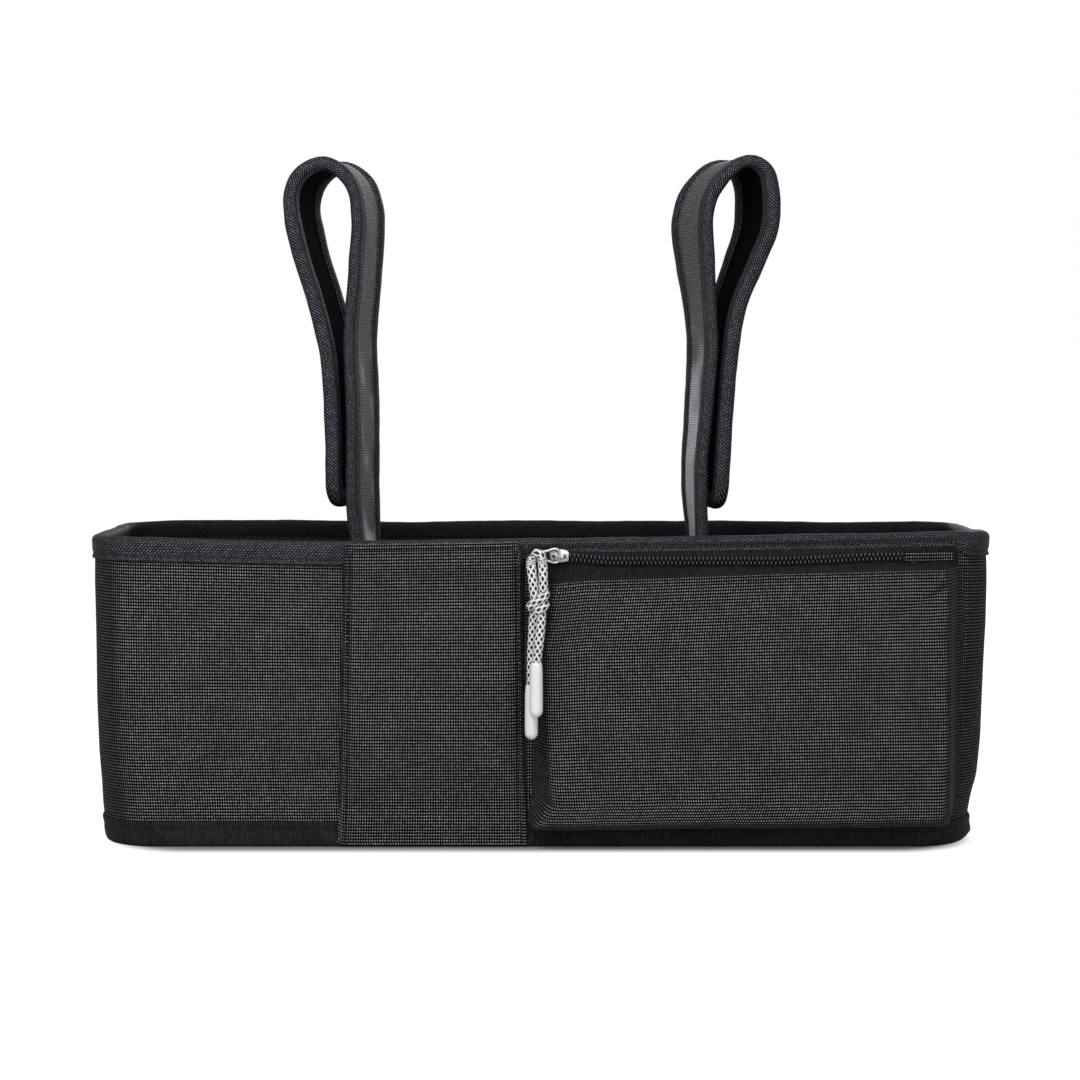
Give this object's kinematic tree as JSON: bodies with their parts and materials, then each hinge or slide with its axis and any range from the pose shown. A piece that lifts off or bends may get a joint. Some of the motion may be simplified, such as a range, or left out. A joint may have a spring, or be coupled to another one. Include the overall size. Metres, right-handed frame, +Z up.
{
  "type": "stroller organizer",
  "caption": "Soft oblong stroller organizer with bound rim, inner dividers, front slip pocket, zipped front pouch with cord pull, and looped hook-and-loop straps",
  "frame": {"origin": "centre of the base's underside, without the pull cord", "axes": "+X along the basket to the viewer's right, +Y from the pocketed front to the back, +Z up"},
  "size_m": [0.4054, 0.1432, 0.3117],
  "materials": {
    "dotted_fabric": "dark grey woven polyester with a fine pale dot pattern",
    "lining": "black nylon lining",
    "twill_binding": "black twill binding tape",
    "ribbed_tape": "black ribbed tape",
    "zip_teeth": "black nylon coil",
    "strap_face": "grey ribbed satin webbing",
    "hook_and_loop": "black hook and loop tape",
    "slider_metal": "bright gunmetal plating",
    "braided_cord": "white and black braided cord",
    "cord_tip": "white moulded sleeve"
  },
  "bodies": {
    "organizer": {"side_wall": "dotted_fabric", "base_panel": "lining", "rim_binding": "twill_binding", "base_binding": "ribbed_tape", "divider_left": "lining", "divider_right": "lining", "slip_pocket": "dotted_fabric", "pouch_front": "dotted_fabric", "zip_tape_upper": "ribbed_tape", "zip_tape_lower": "ribbed_tape", "zip_teeth_upper": "zip_teeth", "zip_teeth_lower": "zip_teeth", "zip_stop_left": "slider_metal", "zip_stop_right": "slider_metal", "zip_end_patch": "dotted_fabric", "strap_left": "strap_face", "strap_right": "strap_face", "strap_binding_left": "twill_binding", "strap_binding_right": "twill_binding", "loop_tape_left": "hook_and_loop", "loop_tape_right": "hook_and_loop", "hook_tape_left": "hook_and_loop", "hook_tape_right": "hook_and_loop"},
    "zip_slider": {"slider": "slider_metal"},
    "ring": {"pull_ring": "slider_metal"},
    "pull_cord": {"cord_left": "braided_cord", "cord_right": "braided_cord", "cord_knot": "braided_cord", "cord_tail_front": "braided_cord", "cord_tail_back": "braided_cord", "cord_tip_front": "cord_tip", "cord_tip_back": "cord_tip"}
  },
  "joints": [
    {"name": "zip_slide", "type": "slide", "parent": "organizer", "child": "zip_slider", "axis": [1, 0, 0], "range_m": [0, 0.148]},
    {"name": "ring_swing", "type": "hinge", "parent": "zip_slider", "child": "ring", "pos_m": [0.0085, -0.06425, 0.1308], "axis": [0, 0, 1], "range_deg": [0, 150]},
    {"name": "cord_hang", "type": "hinge", "parent": "ring", "child": "pull_cord", "pos_m": [-0.0035, -0.06425, 0.1308], "axis": [0, 0, 1], "range_deg": [-150, 0]}
  ],
  "couplings": [
    {"joint": "cord_hang", "follows": "ring_swing", "ratio": -1}
  ]
}
